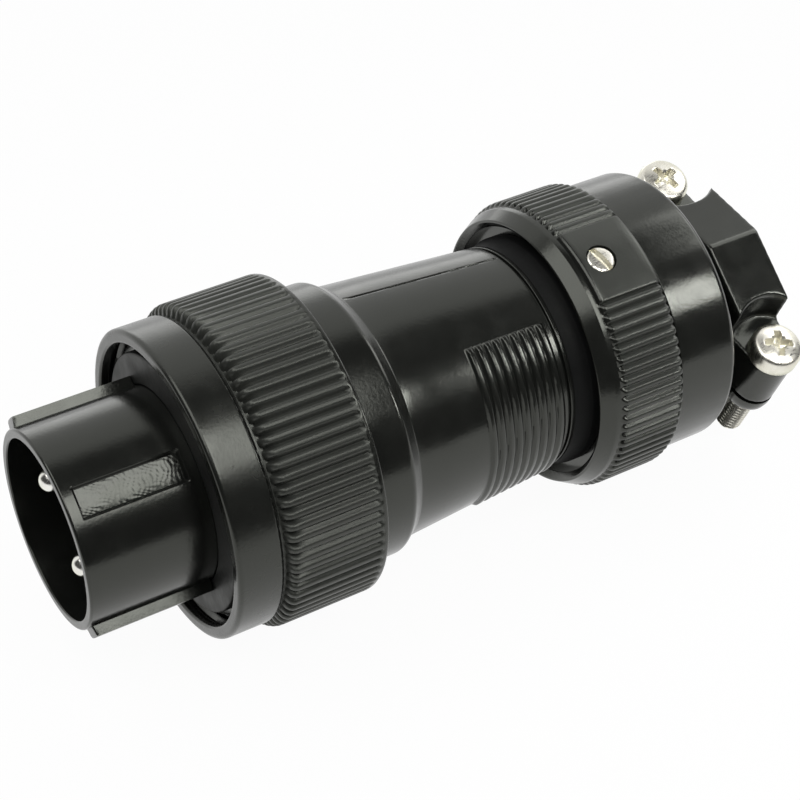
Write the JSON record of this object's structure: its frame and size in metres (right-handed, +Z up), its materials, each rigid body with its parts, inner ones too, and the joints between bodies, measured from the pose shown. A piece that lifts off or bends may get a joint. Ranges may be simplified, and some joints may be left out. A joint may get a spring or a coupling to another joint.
{
  "type": "waterproof circular connector plug",
  "caption": "Black waterproof circular cable plug: keyed front shroud with pins, knurled coupling nut, tapered barrel, knurled rear nut and screwed cable clamp.",
  "frame": {"origin": "centre of the shroud's mouth, on the connector's axis", "axes": "+X along the axis from the mouth to the cable clamp, +Z up, so the plug lies on its side"},
  "size_m": [0.0829, 0.034, 0.034],
  "materials": {
    "black_resin": "moulded, satin to gloss",
    "insulator_resin": "moulded, matte",
    "silver_contact": "silver plated",
    "seal_rubber": "matte",
    "plated_steel": "zinc plated",
    "nickel_screw": "nickel plated, bright"
  },
  "bodies": {
    "plug": {"plug_shell": "black_resin", "pin_insulator": "insulator_resin", "insert_back_plate": "insulator_resin", "insert_ring": "plated_steel", "contact_pin_1": "silver_contact", "contact_pin_2": "silver_contact", "face_gasket": "seal_rubber", "barrel": "black_resin", "barrel_o_ring": "seal_rubber", "rear_seal_ring": "seal_rubber", "rear_nut": "black_resin", "lock_screw": "nickel_screw", "cable_gland": "seal_rubber", "gland_washer": "plated_steel", "end_cap": "black_resin"},
    "washer": {"thrust_washer": "plated_steel"},
    "coupling_nut": {"coupling_nut": "black_resin"},
    "clamp_saddle": {"clamp_saddle": "black_resin", "clamp_screw_1": "nickel_screw", "clamp_screw_2": "nickel_screw"}
  },
  "joints": [
    {"name": "nut_slide", "type": "slide", "parent": "plug", "child": "washer", "axis": [-1, 0, 0], "range_m": [0, 0.0065]},
    {"name": "nut_spin", "type": "hinge", "parent": "washer", "child": "coupling_nut", "pos_m": [0.02, 0, 0], "axis": [-1, 0, 0], "continuous": true},
    {"name": "saddle_slide", "type": "slide", "parent": "plug", "child": "clamp_saddle", "axis": [0, -0.3907, 0.9205], "range_m": [0, 0.003]}
  ]
}
